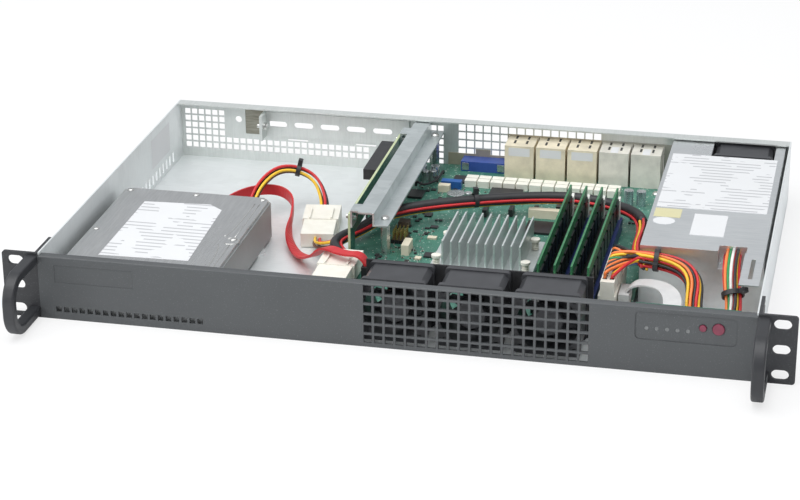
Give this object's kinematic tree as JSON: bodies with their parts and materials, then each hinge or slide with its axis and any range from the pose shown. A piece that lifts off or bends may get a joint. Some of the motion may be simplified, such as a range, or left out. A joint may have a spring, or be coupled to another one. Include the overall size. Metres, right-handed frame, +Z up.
{
  "type": "1u rack server",
  "caption": "Short rack server with its top cover off: slotted ears with pull handles, meshed front, fans, board with memory and heat sink, hard drive, riser and power supply.",
  "frame": {"origin": "middle of the underside of the whole server, handles included", "axes": "+X to the right seen from the front, +Y from the front to the back, +Z up"},
  "size_m": [0.4826, 0.3296, 0.043],
  "materials": {
    "tray_steel": "galvanised sheet steel, satin",
    "front_paint": "dark grey powder paint, fine texture",
    "handle_paint": "dark grey powder paint",
    "drive_aluminium": "cast and stamped, matt",
    "circuit_green": "solder mask over glass fibre, satin",
    "black_plastic": "moulded, satin",
    "fan_plastic": "moulded, satin",
    "rotor_plastic": "moulded, satin",
    "socket_plastic": "moulded, satin",
    "latch_plastic": "moulded, satin",
    "sink_aluminium": "extruded, plain",
    "port_metal": "tinned and stamped",
    "video_plastic": "moulded",
    "white_plastic": "moulded nylon",
    "filter_white": "moulded, matt",
    "chip_steel": "plated lid",
    "supply_steel": "plated sheet, satin",
    "lead_black": "extruded sleeve",
    "lead_red": "extruded, flat",
    "button_red": "moulded",
    "lamp_lens": "clear light guide",
    "screw_steel": "plated",
    "can_aluminium": "drawn can"
  },
  "bodies": {
    "case": {"board_standoffs": "screw_steel", "cable_ties": "black_plastic", "capacitors": "can_aluminium", "card_sockets": "black_plastic", "chassis_tray": "tray_steel", "control_board": "circuit_green", "control_lead": "lead_black", "data_and_power_plugs": "black_plastic", "data_lead": "lead_red", "drive_casting": "drive_aluminium", "drive_circuit_board": "circuit_green", "drive_cover": "drive_aluminium", "drive_power_lead": "lead_black", "drive_screws": "screw_steel", "ear_screws": "screw_steel", "fan_frames": "fan_plastic", "fan_holder": "black_plastic", "front_panel": "front_paint", "handle_left": "handle_paint", "handle_right": "handle_paint", "handle_screws": "screw_steel", "heatsink": "sink_aluminium", "heatsink_pins": "white_plastic", "indicator_lenses": "lamp_lens", "inline_connectors": "white_plastic", "line_filters": "filter_white", "machine_screws": "screw_steel", "main_power_plug": "white_plastic", "memory_modules": "circuit_green", "memory_sockets": "socket_plastic", "motherboard": "circuit_green", "network_ports": "port_metal", "port_shield": "port_metal", "processor": "chip_steel", "rack_ear_left": "front_paint", "rack_ear_right": "front_paint", "rear_panel": "tray_steel", "riser_bracket": "tray_steel", "riser_card": "circuit_green", "slot_cover": "tray_steel", "supply_case": "supply_steel", "supply_fan_frame": "fan_plastic", "supply_harness": "lead_black", "supply_inlet": "black_plastic", "video_port": "video_plastic"},
    "fan_rotor_1": {"fan_rotor_1": "rotor_plastic"},
    "fan_rotor_2": {"fan_rotor_2": "rotor_plastic"},
    "fan_rotor_3": {"fan_rotor_3": "rotor_plastic"},
    "supply_fan_rotor": {"supply_fan_rotor": "rotor_plastic"},
    "power_button": {"power_button": "button_red"},
    "reset_button": {"reset_button": "button_red"},
    "memory_latch_1": {"memory_latch_1": "latch_plastic"},
    "memory_latch_2": {"memory_latch_2": "latch_plastic"},
    "memory_latch_3": {"memory_latch_3": "latch_plastic"},
    "memory_latch_4": {"memory_latch_4": "latch_plastic"},
    "memory_latch_5": {"memory_latch_5": "latch_plastic"},
    "memory_latch_6": {"memory_latch_6": "latch_plastic"},
    "memory_latch_7": {"memory_latch_7": "latch_plastic"},
    "memory_latch_8": {"memory_latch_8": "latch_plastic"}
  },
  "joints": [
    {"name": "fan_1_spin", "type": "hinge", "parent": "case", "child": "fan_rotor_1", "pos_m": [0.0024, -0.1003, 0.021], "axis": [0, 1, 0], "continuous": true},
    {"name": "fan_2_spin", "type": "hinge", "parent": "case", "child": "fan_rotor_2", "pos_m": [0.0489, -0.1003, 0.021], "axis": [0, 1, 0], "continuous": true},
    {"name": "fan_3_spin", "type": "hinge", "parent": "case", "child": "fan_rotor_3", "pos_m": [0.0954, -0.1003, 0.021], "axis": [0, 1, 0], "continuous": true},
    {"name": "supply_fan_spin", "type": "hinge", "parent": "case", "child": "supply_fan_rotor", "pos_m": [0.188, 0.1482, 0.021], "axis": [0, 1, 0], "continuous": true},
    {"name": "power_button_press", "type": "slide", "parent": "case", "child": "power_button", "axis": [0, 1, 0], "range_m": [0, 0.0008], "stiffness_N_per_m": 600, "springref_m": -0.0006},
    {"name": "reset_button_press", "type": "slide", "parent": "case", "child": "reset_button", "axis": [0, 1, 0], "range_m": [0, 0.0008], "stiffness_N_per_m": 600, "springref_m": -0.0006},
    {"name": "latch_1_tip", "type": "hinge", "parent": "case", "child": "memory_latch_1", "pos_m": [0.08216, -0.0734, 0.012], "axis": [1, 0, 0], "range_deg": [0, 20]},
    {"name": "latch_2_tip", "type": "hinge", "parent": "case", "child": "memory_latch_2", "pos_m": [0.08216, 0.06495, 0.012], "axis": [-1, 0, 0], "range_deg": [0, 20]},
    {"name": "latch_3_tip", "type": "hinge", "parent": "case", "child": "memory_latch_3", "pos_m": [0.0924, -0.0734, 0.012], "axis": [1, 0, 0], "range_deg": [0, 20]},
    {"name": "latch_4_tip", "type": "hinge", "parent": "case", "child": "memory_latch_4", "pos_m": [0.0924, 0.06495, 0.012], "axis": [-1, 0, 0], "range_deg": [0, 20]},
    {"name": "latch_5_tip", "type": "hinge", "parent": "case", "child": "memory_latch_5", "pos_m": [0.10264, -0.0734, 0.012], "axis": [1, 0, 0], "range_deg": [0, 20]},
    {"name": "latch_6_tip", "type": "hinge", "parent": "case", "child": "memory_latch_6", "pos_m": [0.10264, 0.06495, 0.012], "axis": [-1, 0, 0], "range_deg": [0, 20]},
    {"name": "latch_7_tip", "type": "hinge", "parent": "case", "child": "memory_latch_7", "pos_m": [0.11288, -0.0734, 0.012], "axis": [1, 0, 0], "range_deg": [0, 20]},
    {"name": "latch_8_tip", "type": "hinge", "parent": "case", "child": "memory_latch_8", "pos_m": [0.11288, 0.06495, 0.012], "axis": [-1, 0, 0], "range_deg": [0, 20]}
  ]
}
